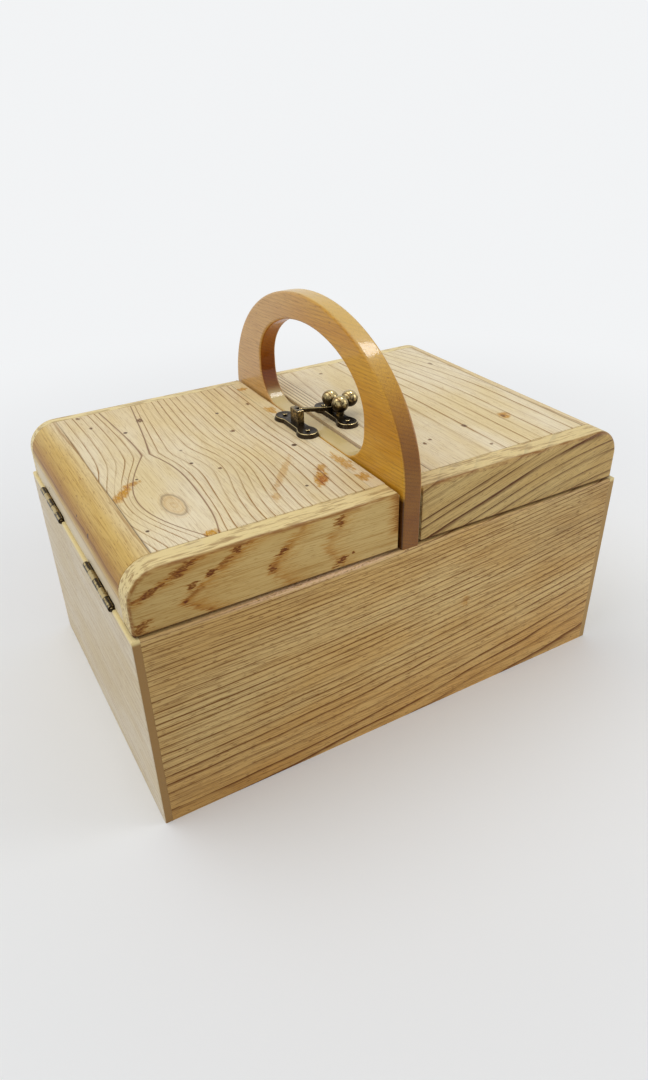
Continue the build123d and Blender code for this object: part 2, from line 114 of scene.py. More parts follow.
class Field:
    """A number or a vector that varies over a surface; arithmetic on it adds Math nodes."""

    def __init__(self, tree, socket):
        self.tree = tree
        self.socket = socket

    def math(self, operation, *others):
        """Apply one operation of the Math node to this field and the others."""
        inputs = dict(enumerate((self, *others)))
        return add_field(self.tree, "Math", inputs, operation=operation)

    def __add__(self, other):
        return self.math("ADD", other)

    def __sub__(self, other):
        return self.math("SUBTRACT", other)

    def __mul__(self, other):
        return self.math("MULTIPLY", other)

    def __truediv__(self, other):
        return self.math("DIVIDE", other)

    def __rsub__(self, other):
        return self.math("MULTIPLY_ADD", -1, other)

    def __abs__(self):
        return self.math("ABSOLUTE")

    def most(self, other):
        """The larger of this field and another."""
        return self.math("MAXIMUM", other)

    def smooth(self, low, high):
        """0 at low, 1 at high, with a smooth step between; low may be the larger."""
        first, last = (0, 1) if low <= high else (1, 0)
        limits = {"From Min": min(low, high), "From Max": max(low, high), "To Min": first, "To Max": last}
        inputs = {"Value": self, **limits}
        return add_field(self.tree, "MapRange", inputs, interpolation_type="SMOOTHSTEP")

    def bell(self, middle, width):
        """exp(-((value - middle) / width)^2), a smooth hill."""
        away = (self - middle) / width
        return (away * away * -1).math("EXPONENT")

    def blend(self, low, high):
        """low where the field is 0 and high where it is 1."""
        return self * (high - low) + low


def span(a, b):
    """The length of the vector (a, b)."""
    return (a * a + b * b).math("SQRT")


def parts_of(tree, socket):
    """The three parts of a vector, as fields."""
    return [Field(tree, part) for part in add_node(tree, "SeparateXYZ", {0: socket}).outputs]


def noise(x, y, z, detail=2, roughness=0.5):
    """Smooth noise from 0 to 1 with features one unit across; divide each place by its feature's size."""
    place = add_node(x.tree, "CombineXYZ", {"X": x, "Y": y, "Z": z}).outputs[0]
    inputs = {"Vector": place, "Scale": 1.0, "Detail": detail, "Roughness": roughness}
    return add_field(x.tree, "TexNoise", inputs)


def mix(factor, low, high, blend_type="MIX"):
    """The colour low where the factor is 0 and high where it is 1; each is a socket or a plain colour."""
    node = add_node(factor.tree, "Mix", {"Factor": factor}, data_type="RGBA", blend_type=blend_type)
    for socket, color in ((6, low), (7, high)):
        plain = not isinstance(color, bpy.types.NodeSocket)
        plug(factor.tree, (*color, 1) if plain else color, node.inputs[socket])
    return node.outputs[2]


def new_group(name, inputs, outputs):
    """A node group with number and vector inputs and number outputs: its tree, its inputs and its end."""
    tree = bpy.data.node_groups.new(name, "ShaderNodeTree")
    for socket, default in inputs.items():
        kind = "NodeSocketFloat" if isinstance(default, float) else "NodeSocketVector"
        tree.interface.new_socket(socket, in_out="INPUT", socket_type=kind).default_value = default
    for socket in outputs:
        tree.interface.new_socket(socket, in_out="OUTPUT", socket_type="NodeSocketFloat")
    start = tree.nodes.new("NodeGroupInput")
    given = [Field(tree, start.outputs[socket]) for socket in inputs]
    return tree, given, tree.nodes.new("NodeGroupOutput")


def use_group(tree, name, build, inputs):
    """The outputs of a node group, fed in order; the group is built the first time that it is asked for."""
    group = bpy.data.node_groups.get(name) or build(name)
    node = add_node(tree, "Group", dict(enumerate(inputs)), node_tree=group)
    return [Field(tree, output) for output in node.outputs]


def build_growth_lines(name):
    """Dark latewood lines, fibres and pores from a ring count.

    A line darkens towards the end of each ring and stops sharply. Each ring has a strength of its own,
    and fine streaks along the grain break the line up. Fibres and pores are noise stretched along it.
    """
    places = {"Ring": 0.0, "Along": 0.0, "Across": 0.0, "Deep": 0.0}
    inputs = {**places, "Line width": 0.3, "Wander": 0.2, "Seed": 0.0}
    tree, given, end = new_group(name, inputs, ("Line", "Fibre", "Pore", "Height"))
    count, along, across, deep, width, amount, seed = given
    wander = noise(along / 70 + seed, across / 16, deep / 16, detail=3) - 0.5
    ring = count + wander * amount * 2
    part = ring.math("FRACT")
    own = {"W": ring.math("FLOOR") + seed}
    strength = add_field(tree, "TexWhiteNoise", own, noise_dimensions="1D").blend(0.4, 1)
    rise = (part - 1) / width + 1
    edge = part.smooth(1, 0.965)
    streak = noise(along / 9, across / 0.45 + seed, deep / 0.45)
    fade = noise(along / 45 + seed, across / 9, deep / 9, detail=1).smooth(0.3, 0.6).blend(0.5, 1)
    line = rise.most(0).math("POWER", 1.5) * edge * strength * fade
    line = line * streak.smooth(0.25, 0.6).blend(0.6, 1)
    fibre = noise(along / 22 + seed, across / 0.55, deep / 0.55, detail=3, roughness=0.6)
    pore = noise(along / 4.5, across / 0.42 + seed, deep / 0.42, detail=1).smooth(0.6, 0.74)
    for output, value in enumerate((line, fibre, pore, fibre * 0.5 - line * 0.5 - pore * 0.8)):
        plug(tree, value, end.inputs[output])
    return tree


def build_ragged_spot(name):
    """A stain: 1 inside an ellipsoid and 0 outside it, its edge and inside torn by noise along the grain."""
    zero, five = (0.0, 0.0, 0.0), (5.0, 5.0, 5.0)
    inputs = {"Place": zero, "Middle": zero, "Turn": zero, "Reach": five, "Grain": five}
    tree, given, end = new_group(name, {**inputs, "Torn": 0.5, "Solid": 0.5}, ("Mask",))
    place, middle, turn, reach, grain, torn, solid = given
    local = {"Vector": place, "Location": middle, "Rotation": turn, "Scale": reach}
    local = add_field(tree, "Mapping", local, vector_type="TEXTURE")
    away = add_field(tree, "VectorMath", {0: local}, "Value", operation="LENGTH")
    place = add_field(tree, "VectorMath", {0: place, 1: grain}, operation="DIVIDE")
    tear = add_field(tree, "TexNoise", {"Vector": place, "Scale": 0.6, "Detail": 4})
    speckle = add_field(tree, "TexNoise", {"Vector": place, "Scale": 1.6, "Detail": 1})
    speckle = speckle.smooth(0.36, 0.56).blend(solid, 1)
    plug(tree, (away + (tear - 0.5) * torn * 4.5).smooth(1.1, 0.45) * speckle, end.inputs[0])
    return tree


def build_specks(name):
    """Small dark specks scattered over a board: round dots in some of the cells of a Voronoi pattern."""
    inputs = {"Place": (0.0, 0.0, 0.0), "Cell": 14.0, "Share": 0.4, "Size": 0.8}
    tree, (place, cell, share, size), end = new_group(name, inputs, ("Mask",))
    place = add_field(tree, "VectorMath", {0: place, 1: cell}, operation="DIVIDE")
    cells = add_node(tree, "TexVoronoi", {"Vector": place, "Scale": 1})
    parts = add_node(tree, "SeparateColor", {"Color": cells.outputs["Color"]})
    chance, own = (Field(tree, parts.outputs[part]) for part in range(2))
    away = Field(tree, cells.outputs["Distance"]) * cell
    near = (away / (own.blend(0.35, 1) * size)).smooth(1.1, 0.7)
    plug(tree, near * chance.math("LESS_THAN", share), end.inputs[0])
    return tree


# ---- wood ----
def srgb(red, green, blue):
    """A display colour as the linear colour that Blender's sockets hold."""
    return tuple(((c + 0.055) / 1.055) ** 2.4 if c > 0.04045 else c / 12.92 for c in (red, green, blue))


def empty_tree(owner):
    """The node tree of a material or a world, with nothing in it."""
    owner.use_nodes = True
    owner.node_tree.nodes.clear()
    return owner.node_tree


class Board:
    """A material in the making, with the place on the board in millimetres and the surface's direction."""

    def __init__(self, name):
        self.material = bpy.data.materials.new(name)
        self.tree = empty_tree(self.material)
        local = add_node(self.tree, "TexCoord").outputs["Object"]
        self.place = add_field(self.tree, "VectorMath", {0: local, "Scale": 1 / MM}, operation="SCALE")
        self.axes = parts_of(self.tree, self.place)
        self.facing = parts_of(self.tree, add_node(self.tree, "NewGeometry").outputs["Normal"])

    def spot(self, middle, reach, turn=0.0, torn=0.5, axis=2, solid=0.5):
        """The mask of a stain at a place, turned about one axis (0, 1 or 2) by an angle in degrees.

        The grain runs along Y for a stain turned about Z and along X for the others.
        """
        rotation = [0.0, 0.0, 0.0]
        rotation[axis] = radians(turn)
        grain = (0.7, 2.2, 0.7) if axis == 2 else (2.6, 0.6, 0.6)
        inputs = (self.place, middle, rotation, reach, grain, torn, solid)
        return use_group(self.tree, "Ragged spot", build_ragged_spot, inputs)[0]

    def specks(self, cell, share, size):
        """The mask of small dark specks over the whole board."""
        return use_group(self.tree, "Specks", build_specks, (self.place, cell, share, size))[0]

    def surface(self, inputs, relief, roughness):
        """End the material in one shader, with a bump of a strength and a distance, and give it."""
        height, strength, distance = relief
        bump = {"Height": height, "Strength": strength, "Distance": distance}
        bump = add_node(self.tree, "Bump", bump)
        inputs = {**inputs, "Normal": bump.outputs[0], "Roughness": roughness}
        shader = add_node(self.tree, "BsdfPrincipled", inputs)
        add_node(self.tree, "OutputMaterial", {"Surface": shader.outputs[0]})
        return self.material

    def finish(self, wood, kind, ring, grain, marks=(), tints=(), **changes):
        """Colour, roughness and relief from a ring count and the place along, across and into the grain.

        kind names the colours of the wood, and changes replace the usual strengths or colours. marks and
        tints are pairs of a mask and a colour. A mark covers the grain; a tint multiplies it.
        """
        tone = {
            "pale": getattr(wood, f"{kind}_pale"), "warm": getattr(wood, f"{kind}_warm"),
            "line": getattr(wood, f"{kind}_line", wood.lid_line), "width": 0.3, "wander": 0.2, "seed": 0.0,
            "strength": 0.7, "fibre": 0.25, "pores": 0.3, "relief": 0.0004, "rough": 0.42, "coat": 0.08,
            "coat_rough": 0.2, "sheen": 0.18, **changes,
        }
        along, across, deep = grain
        inputs = (ring, along, across, deep, tone["width"], tone["wander"], tone["seed"])
        line, fibre, pore, height = use_group(self.tree, "Growth lines", build_growth_lines, inputs)
        clouds = noise(along / 70 + tone["seed"], across / 22, deep / 22, detail=3)
        color = mix(clouds.smooth(0.32, 0.68), tone["pale"], tone["warm"])
        color = mix(fibre.smooth(0.4, 0.8) * tone["fibre"], color, tone["line"])
        color = mix(line * tone["strength"], color, tone["line"])
        color = mix(pore * tone["pores"], color, tone["line"])
        for mask, tint in tints:
            color = mix(mask, color, tint, "MULTIPLY")
        for mask, mark in marks:
            color = mix(mask, color, mark)
        varnish = {"Coat Weight": tone["coat"], "Coat Roughness": tone["coat_rough"]}
        inputs = {"Base Color": color, **varnish, "Specular IOR Level": tone["sheen"]}
        roughness = fibre.blend(tone["rough"] - 0.06, tone["rough"] + 0.08)
        return self.surface(inputs, (height, 0.35, tone["relief"]), roughness)


def front_wall_wood(wood):
    """Lines 8 mm apart at the foot and 2.5 mm apart at the top, which climb to the right on a parabola.

    The foot's lines climb more than the top's.
    """
    board = Board("Front wall wood")
    x, y, z = board.axes
    run = x - BODY_END
    height = z - run * run * (0.00045 - z * 0.0000018) + (y - BODY_FRONT) * 0.35
    ring = height * 0.13 + height * height * 0.0013
    foot = z.smooth(50, 0) * 0.6
    knot = board.spot((37, BODY_FRONT, 64), (2.4, 6, 5)) * 0.6
    # Painted highlight: a pale strip along the top edge of the front's left part, where the rounded edge
    # would catch the light.
    wear_and_sheen = x.smooth(5, -30) * x.smooth(-125, -50)
    wear_and_sheen = wear_and_sheen * noise(x / 1.6, y / 0.7, z / 0.7, detail=1).smooth(0.25, 0.6)
    top = z.smooth(BODY_TOP - 2.6, BODY_TOP - 0.8) * wear_and_sheen.blend(0.1, 0.85)
    # Painted shade: darker towards the left end and at the upper right of the front.
    painted_shade = x.smooth(0, BODY_END).most(x.smooth(20, 110) * z.smooth(40, 90))
    tints = [(foot, wood.body_foot), (knot, wood.stain_light), (painted_shade, wood.shade)]
    return board.finish(
        wood, "body", ring, (x, z, y), [(top, wood.body_top_highlight)], tints,
        width=0.38, wander=0.4, strength=2.4, seed=3, fibre=0.8, pores=0.9,
    )


def back_wall_wood(wood):
    """Lines that sink to the right and open out, from another plank."""
    board = Board("Back wall wood")
    x, y, z = board.axes
    run = x - BODY_END
    height = z + run * run * 0.00016 + (y + BODY_FRONT) * 0.3
    return board.finish(
        wood, "body", height * 0.21 + 3, (x, z, y), [(board.specks(22, 0.25, 0.8), wood.speck)],
        width=0.4, wander=0.5, strength=0.75, seed=17, fibre=0.35,
    )


def end_wall_wood(wood, seed, end_grain):
    """Faint lines along the end, on a pale board, with a few specks below the front hinge."""
    board = Board("End wall wood")
    x, y, z = board.axes
    height = z + x * 0.2 + y * y * 0.0006
    cut = abs(board.facing[1]).smooth(0.6, 0.9)
    top = z.smooth(BODY_TOP - 2.5, BODY_TOP - 0.4) * 0.85
    specks = board.specks(5, 0.6, 0.55) * board.spot((BODY_END, -52, 93), (9, 14, 9), torn=0.3)
    marks = [(cut, end_grain), (top, wood.edge_gold), (specks, wood.speck)]
    return board.finish(
        wood, "end", height / 5.5, (y, z, x), marks,
        seed=seed, strength=0.45, fibre=0.35, width=0.5, wander=0.5, pores=0.5,
    )


def bottom_panel_wood(wood):
    """A plain flat-sawn panel with its grain along the box."""
    board = Board("Bottom panel wood")
    x, y, z = board.axes
    ring = span(y - 12, z + 26) / 5
    return board.finish(wood, "lid", ring, (x, y, z), seed=9, wander=0.5, coat=0.05)


def handle_wood(wood):
    """Close lines nearly level along the board under a thick amber varnish, with darker sawn end grain.

    The outer rim is golden at the top of the arch, partly with a painted highlight where it looks up, and
    brown below; the inner rim is dark amber, partly painted shade, and the faces carry a painted reflection,
    paler towards the top.
    """
    board = Board("Handle wood")
    x, y, z = board.axes
    facing_x, facing_y, facing_z = board.facing
    height = z + y * 0.09 + x * 0.4
    rim = abs(facing_x).smooth(0.75, 0.25)
    sawn = rim * abs(facing_y).smooth(0.2, 0.7) * z.smooth(195, 150).blend(0.1, 1)
    inward = (facing_y * y + facing_z * (z - LID_TOP)).smooth(5, -15)
    # Partly the amber of the varnish and partly painted shade on the inner rim's faces that look down into
    # the opening.
    inner = rim * inward * facing_z.smooth(0.7, 0.3)
    sill = facing_z.smooth(0.6, 0.95) * z.smooth(LID_TOP + 20, LID_TOP + 8) * 0.85
    # Painted shade on the handle's faces inside the slot between the lids.
    foot = z.smooth(LID_TOP - 1, LID_TOP - 5) * abs(y).smooth(83, 86) * (1 - rim)
    # Painted reflection: the faces are drawn paler towards the top and back of the arch.
    wear_and_sheen = (y + z * 0.5).smooth(72, 138) * (1 - rim) * 0.65
    # Partly the rim's own gold and partly a painted highlight where the rim looks up.
    crown_highlight = rim * facing_z.smooth(0.6, 1) * z.smooth(175, 200) * 0.5
    tints = [(sawn, wood.handle_cut), (inner, wood.handle_inner_shade), (foot, wood.gap)]
    marks = [(sill, wood.handle_sill), (crown_highlight, wood.handle_crown_highlight)]
    pale, warm = (mix(wear_and_sheen, color, wood.handle_sheen) for color in (wood.handle_pale, wood.handle_warm))
    return board.finish(
        wood, "handle", height / 1.9, (y, z, x), marks, tints, pale=pale, warm=warm, seed=5, width=0.6,
        wander=0.45, strength=0.5, fibre=0.45, pores=0.5, rough=0.36, coat=0.4, coat_rough=0.08,
        relief=0.0002,
    )


# stains of the lids' panels: middle x and y, reach along x and y, turn in degrees, strength, whether dark
LEFT_PANEL_STAINS = (
    (-113, -22, 3.4, 11, -42, 1, False), (-106, -14, 6, 2.2, 12, 0.9, False),
    (-28, -55, 4, 10.5, -30, 1, False), (-28.5, -57, 2.4, 5.5, -30, 0.9, False),
    (-23, -46, 3, 5.5, -30, 0.9, False), (-78.5, 57.5, 2, 3.4, 0, 1, True),
    (-91, -74, 4, 3, 0, 1, False), (-42, -42, 2.4, 24, -38, 0.5, False),
    (-54, -60, 2, 6, -20, 0.5, False), (-64, -20.5, 1.5, 1.5, 0, 1, True),
    (-41, 17, 1.7, 1.7, 0, 1, True), (-104, 61, 1.2, 1.6, 0, 1, True),
    (-106.5, 78, 1.7, 1.9, 0, 1, True), (-121, -5, 1.2, 1.8, 0, 1, True),
    (-18, 47, 1.4, 1.8, 0, 0.9, True),
)
RIGHT_PANEL_STAINS = (
    (93, -43, 4, 4.8, -25, 1, False), (92, -43.5, 1.8, 2, 0, 0.8, True),
    (66, -43, 2, 2, 0, 1, True), (110, 46, 1.4, 2.6, 0, 0.8, True),
    (42, 68, 1.5, 1.5, 0, 0.9, True), (63, -68, 1.3, 1.3, 0, 1, True),
    (40, -47.5, 1.2, 1.2, 0, 1, True), (35, -50, 1, 1.6, 0, 1, True),
)
# stains of the left inner rail: middle y, reach along y
INNER_RAIL_STAINS = ((-46, 13), (32, 6.5), (-64, 5), (70, 3))


def stains(board, wood, table):
    """The tints of a table of stains on a panel's top face."""
    tints = []
    for middle_x, middle_y, reach_x, reach_y, turn, strength, dark in table:
        middle, reach = (middle_x, middle_y, LID_TOP), (reach_x, reach_y, 6)
        mask = board.spot(middle, reach, turn, torn=0.35, solid=0.7) * strength
        tints.append((mask, wood.stain_dark if dark else wood.stain))
    return tints


def panel_seam(board, inner, clear):
    """A thin dark line where a panel meets its end block and its inner rail.

    inner is the place of the inner rail's seam, and the line is clear there where the field clear is 1.
    """
    x, y, _ = board.axes
    end = abs(x).bell(BLOCK_SEAM, 0.5) * y.smooth(0, -25).blend(0.4, 1)
    return end.most(x.bell(inner, 0.4) * clear.blend(0.3, 1)) * 0.85


def left_panel_wood(wood):
    """Lines that part round a knot and round a long eye behind it, as a stream parts round two stones.

    The stones have half width h at each place along the board: h falls on a parabola from the knot and
    rises in a wedge behind it. Outside them the distance d from their middle line is pulled in to
    d (1 - h^2 / d^2), and inside them it is 0, so no line crosses a stone. Away from the middle line the
    lines straighten, and a hill pushes those on the right further right.
    """
    board = Board("Left lid panel wood")
    x, y, z = board.axes
    middle = -88.5 - y.bell(-35, 38) * 7.5 + (y - 10).most(0) * 0.05
    away = x - middle
    place = (y + 32) / 46
    half = (12.2 - place * place * 12.2).most((y - 10) * 0.115).most(0)
    square = half * half
    stream = away * (1 - square / (away * away).most(square + 0.01))
    stream = stream + (middle + 91) * (1 - away.bell(0, 40))
    stream = abs(stream - y.bell(-16, 28) * x.bell(-60, 16) * 7)
    knot = span((x + 96) / 5, (y + 43) / 11) + noise(x / 6, y / 6, 0) * 0.25
    knot_rings = (knot * 2.2 + 0.1).math("FRACT").smooth(0.5, 0.9) * knot.smooth(1.9, 1)
    tints = [
        (knot.smooth(1.15, 0.9) * 0.5, wood.knot),
        (knot.bell(1.05, 0.1) * 0.5, wood.stain_dark),
        (knot_rings * 0.18, wood.stain),
        *stains(board, wood, LEFT_PANEL_STAINS),
        (y.smooth(10, 80), wood.lid_back),
        (stream.bell(2, 0.55) * 0.85, wood.scorch),
    ]
    seam = panel_seam(board, LEFT_INNER_SEAM, y.smooth(30, 60))
    return board.finish(
        wood, "lid", stream / 4.5 + 0.55, (y, x, z),
        [(board.specks(13, 0.42, 1.9), wood.speck), (seam, wood.speck)], tints,
        width=0.26, wander=0.1, seed=1, strength=2.1, fibre=0.4,
    )


def right_panel_wood(wood):
    """Lines round a pith 25 mm under the board, so that they open out over it; at the back they lean in."""
    board = Board("Right lid panel wood")
    x, y, z = board.axes
    lean = (y + 20).most(0)
    across = x + lean * lean * (x - 50) * 0.000034 - 38
    ring = span(across, z - LID_TOP + 25) / 6.6 + 0.25
    seam = panel_seam(board, RIGHT_INNER_SEAM, y.smooth(-55, -70))
    return board.finish(
        wood, "lid", ring, (y, x, z), [(board.specks(17, 0.36, 1.8), wood.speck), (seam, wood.speck)],
        stains(board, wood, RIGHT_PANEL_STAINS), width=0.24, wander=0.1, seed=8, strength=1.9, fibre=0.4,
    )


def end_block_wood(wood, side):
    """Honey-gold from the panel's seam over the rounding, with a pale painted reflection below; close lines
    round a low pith.
    """
    board = Board("End block wood")
    x, y, z = board.axes
    ring = span(x - side * 96, z - 96) / 3.7
    gold = (x * side).smooth(BLOCK_SEAM, BLOCK_SEAM + 9).blend(0.25, 1)
    gold = gold * z.smooth(LID_BOTTOM + 1, LID_BOTTOM + 9).blend(0.2, 1)
    band = z.bell(LID_BOTTOM + 18.5, 5)
    # Painted reflection highlight: a pale band on the foot of the block, below the rounding.
    low = z.smooth(LID_BOTTOM + 14, LID_BOTTOM + 8) * 0.75
    marks = [(low, wood.end_pale), (board.specks(15, 0.3, 1.6), wood.speck)]
    return board.finish(
        wood, "lid", ring, (y, x, z), marks, [(gold, wood.edge_gold), (band, wood.edge_low)],
        width=0.5, wander=0.35, seed=21 + side, strength=1.2, fibre=0.55, pores=0.5,
    )


def inner_rail_wood(wood, side):
    """A strip beside the handle: the left one is stained, the right one has dark lines towards the back."""
    board = Board("Inner rail wood")
    x, y, z = board.axes
    if side > 0:
        lines = (x / 2.3).math("FRACT").smooth(0.5, 0.95) * y.smooth(-5, 40) * 0.75
        spacing, tints = 2.2, [(lines, wood.stain_dark)]
    else:
        spacing, tints = 5, []
        for middle, reach in INNER_RAIL_STAINS:
            mask = board.spot((-11, middle, LID_TOP), (3.8, reach, 6), solid=0.7) * 0.9
            tints.append((mask, wood.stain))
    ring = (x + z * 0.3) / spacing
    return board.finish(wood, "lid", ring, (y, x, z), (), tints, seed=31 + side, strength=0.35)


def rail_edge(board, wood, side, yellow=0.85):
    """The marks of a side rail's edge: pale yellow on top, partly a painted highlight, worn brown in streaks
    towards the face, and a painted shadow along the foot.
    """
    x, y, z = board.axes
    across = board.facing[1] * side
    top = across.smooth(0.5, 0.1)
    turn = across.smooth(0.08, 0.45) * across.smooth(0.98, 0.7)
    streaks = noise(x / 13, y / 1.6, z / 1.6, detail=4, roughness=0.6)
    scrape = noise(x / 16 + 5, y / 3, z / 3, detail=3).smooth(0.6, 0.68)
    return [
        # Partly worn yellow wood and partly a painted highlight on the rail's rounded top edge.
        (top * yellow, wood.edge_worn_highlight),
        (turn * streaks.smooth(0.4, 0.6).blend(0.3, 1), wood.edge_brown),
        (streaks.smooth(0.48, 0.62) * top * 0.55, wood.edge_brown),
        (scrape * top * 0.5, wood.edge_brown),
        # Painted shadow along the foot of the rail, in the gap above the body.
        (z.smooth(LID_BOTTOM + 1.3, LID_BOTTOM + 0.5) * 0.95, wood.foot_shadow),
    ]


# scorched arcs of the left front rail: place of the tip along x and z, steepness, roundness, strength
SCORCHED_ARCS = (
    (-175.2, 108, 2.6, 3, 0.8), (-110.5, 118.5, 1.75, 3, 0.75), (-71, 120, 0.95, 2, 0.65),
    (-44.5, 123, 0.8, 1.5, 0.5),
)
# darkest spots of the left front rail: middle x and z, reach along x and z, strength
SCORCHED_SPOTS = (
    (-106.7, 124.6, 3.2, 2.2, 0.95), (-98, 128.8, 3.6, 1.5, 1), (-91, 132, 4, 1.6, 0.8),
    (-85, 135.8, 4, 2.2, 1), (-110, 118.7, 2.4, 1.1, 1), (-65.6, 127.6, 3.4, 2, 1),
    (-71, 120.4, 2.2, 2.6, 0.95), (-37.4, 134, 3.4, 2.8, 0.9), (-37.4, 113.2, 4, 2.2, 1),
    (-110, 134.6, 9, 2.6, 0.9), (-123, 128.6, 9, 1.6, 0.9), (-130, 112.6, 6, 3, 0.9),
    (-30.6, 115.4, 1, 1, 1), (-6, 128, 4, 4, 0.6),
)


def left_rail_wood(wood):
    """A beige rail with scorched arcs: bands on hyperbolas open to the right, torn along the grain."""
    board = Board("Left front rail wood")
    x, y, z = board.axes
    streak = noise(x / 7, z / 0.55, y / 3, detail=3)
    torn = (streak - 0.5) * 14
    patchy = noise(x / 8 + 4, z / 4, y / 9).smooth(0.4, 0.62)
    front = (board.facing[1] * -1).smooth(0.4, 0.8)
    cores = [(x + 9 + torn).smooth(-5, 3) * (z - LID_BOTTOM).smooth(5, 12) * 0.8]
    hazes = []
    for tip_x, tip_z, steep, bend, strength in SCORCHED_ARCS:
        away = x - tip_x - span((z - tip_z) * steep, bend) + bend + torn
        cores.append(away.smooth(-2.5, 0.5) * away.smooth(5, 0.5) * patchy.blend(0.2, 1) * strength)
        hazes.append(away.smooth(-4, 1) * away.smooth(16, 3) * strength)
    for middle_x, middle_z, reach_x, reach_z, strength in SCORCHED_SPOTS:
        middle, reach = (middle_x, LID_FRONT, middle_z), (reach_x, 6, reach_z)
        cores.append(board.spot(middle, reach, -25, torn=0.85, axis=1, solid=0.7) * strength)
    core = reduce(Field.most, cores)
    haze = reduce(Field.most, hazes) * streak.smooth(0.44, 0.56).blend(0.15, 1)
    tints = [
        (haze * front, wood.stain_light),
        (core * front, wood.stain),
        (core.smooth(0.4, 1.2) * front, wood.scorch),
        # Painted shade towards the rail's left end.
        (x.smooth(-80, BODY_END), wood.shade),
    ]
    ring = span(z - 60, y + 60) / 9
    return board.finish(
        wood, "rail", ring, (x, z, y), rail_edge(board, wood, -1), tints,
        line=wood.lid_line, seed=12, strength=0.15, fibre=0.65, coat=0.03, pores=0.5,
    )


def right_rail_wood(wood):
    """Strong lines about 6.5 mm apart, uneven by two hills, that climb to the right and flatten out."""
    board = Board("Right front rail wood")
    x, y, z = board.axes
    past = (x - 65).most(0)
    level = z - x * 0.3 + past * past * 0.0017 + (y - LID_FRONT) * 0.3
    ring = (level + level.bell(118.3, 3) * 2.8 + level.bell(103.5, 4) * 1.8 - 127.6) / 6.5 + 20
    return board.finish(
        wood, "rail", ring, (x + z * 0.3, z - x * 0.3, y), rail_edge(board, wood, -1, yellow=0.7),
        seed=14, width=0.34, wander=0.12, strength=2.3, fibre=0.6, pores=0.7, coat=0.03,
    )


def back_rail_wood(wood, seed):
    """Plain lines along the rail, under the same worn edge."""
    board = Board("Back rail wood")
    x, y, z = board.axes
    ring = span(z - 150, y - 40) / 4.2
    marks = rail_edge(board, wood, 1)
    return board.finish(wood, "lid", ring, (x, z, y), marks, seed=seed, strength=0.5, wander=0.4)


# ---- brass ----
def antique_brass(brass, name, wear, edge, top, bright):
    """Dark patinated brass, rubbed bright in places, with painted highlights.

    wear is the share of bright patches; edge and top are painted highlights on the rounded edges and on the
    faces that look up, standing in for reflections.
    """
    board = Board(name)
    x, y, z = board.axes
    up = board.facing[2]
    blotch = noise(x / 1.6, y / 1.6, z / 1.6, detail=3, roughness=0.6)
    grain = noise(x / 0.35, y / 0.35, z / 0.35, detail=1)
    # Painted highlights: rim and up brighten the rounded edges and upward faces; the blotches and grain are
    # rubbed wear.
    rim = up.smooth(0.99, 0.9) * up.smooth(0.4, 0.75)
    wear_and_sheen = (blotch * 0.6 + grain * 0.2 + rim * edge + up * top).smooth(0.77 - wear, 1 - wear)
    inputs = {"Base Color": mix(wear_and_sheen, brass.dark, bright), "Metallic": 1}
    roughness = wear_and_sheen.blend(brass.roughness + 0.12, brass.roughness - 0.06)
    return board.surface(inputs, (blotch + grain * 0.3, 0.3, 0.0001), roughness)


# ---- surfaces worked out from two parameters ----
def outward_faces(rings):
    """Quads between neighbouring closed rings and a polygon at each end, all facing out of the solid."""
    count, around = rings.shape[:2]
    index = np.arange(count * around).reshape(count, around)
    near, far = index[:-1], index[1:]
    quads = np.stack((near, np.roll(near, -1, 1), np.roll(far, -1, 1), far), -1).reshape(-1, 4)
    points = rings.reshape(-1, 3)
    a, b, c, d = (points[quads[:, k]] - points.mean(0) for k in range(4))
    volume = np.sum(a * (np.cross(b, c) + np.cross(c, d)))
    ends = [index[0][::-1].tolist(), index[-1].tolist()]
    if volume < 0:
        quads = quads[:, ::-1]
        ends = [end[::-1] for end in ends]
    return quads.tolist() + ends


def add_object(name, data):
    """Put an object with some data into the scene."""
    thing = bpy.data.objects.new(name, data)
    bpy.context.scene.collection.objects.link(thing)
    return thing


def add_piece(name, parts, body, replaced, material):
    """One object from closed ring surfaces in millimetres, riding on a body in place of CAD nodes."""
    points, faces = [], []
    for rings in parts:
        start = sum(len(block) for block in points)
        faces += [[start + corner for corner in face] for face in outward_faces(rings)]
        points.append(rings.reshape(-1, 3))
    mesh = bpy.data.meshes.new(name)
    mesh.from_pydata((np.concatenate(points) * MM).tolist(), [], faces)
    mesh.polygons.foreach_set("use_smooth", np.ones(len(mesh.polygons), bool))
    mesh.set_sharp_from_angle(angle=radians(40))
    mesh.materials.append(material)
    piece = add_object(name, mesh)
    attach(piece, body)
    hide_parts(*replaced)


TURNED_SIDES = 56
BAR_SIDES = 28


def circle(sides):
    """The cosines and sines of a full turn in equal steps."""
    angle = np.linspace(0, 2 * pi, sides, endpoint=False)
    return np.cos(angle), np.sin(angle)


def turned(profile, centre, axis):
    """A surface of revolution: each profile point (radius, height) becomes a circle round the axis."""
    axis = np.array(axis, float) / np.linalg.norm(axis)
    first = np.cross(axis, (0, 1, 0) if abs(axis[1]) < 0.9 else (1, 0, 0))
    first /= np.linalg.norm(first)
    second = np.cross(axis, first)
    cosine, sine = circle(TURNED_SIDES)
    unit = cosine[:, None] * first + sine[:, None] * second
    radius, height = np.array(profile, float).T
    return np.array(centre) + height[:, None, None] * axis + radius[:, None, None] * unit


def ball_arc(radius, height, neck):
    """Profile points of a ball from the neck's circle to its pole: (radius cos t, height + radius sin t)."""
    angle = np.linspace(-np.arccos(neck / radius), 0.5 * pi - 0.01, 26)
    return np.stack((radius * np.cos(angle), height + radius * np.sin(angle)), -1)


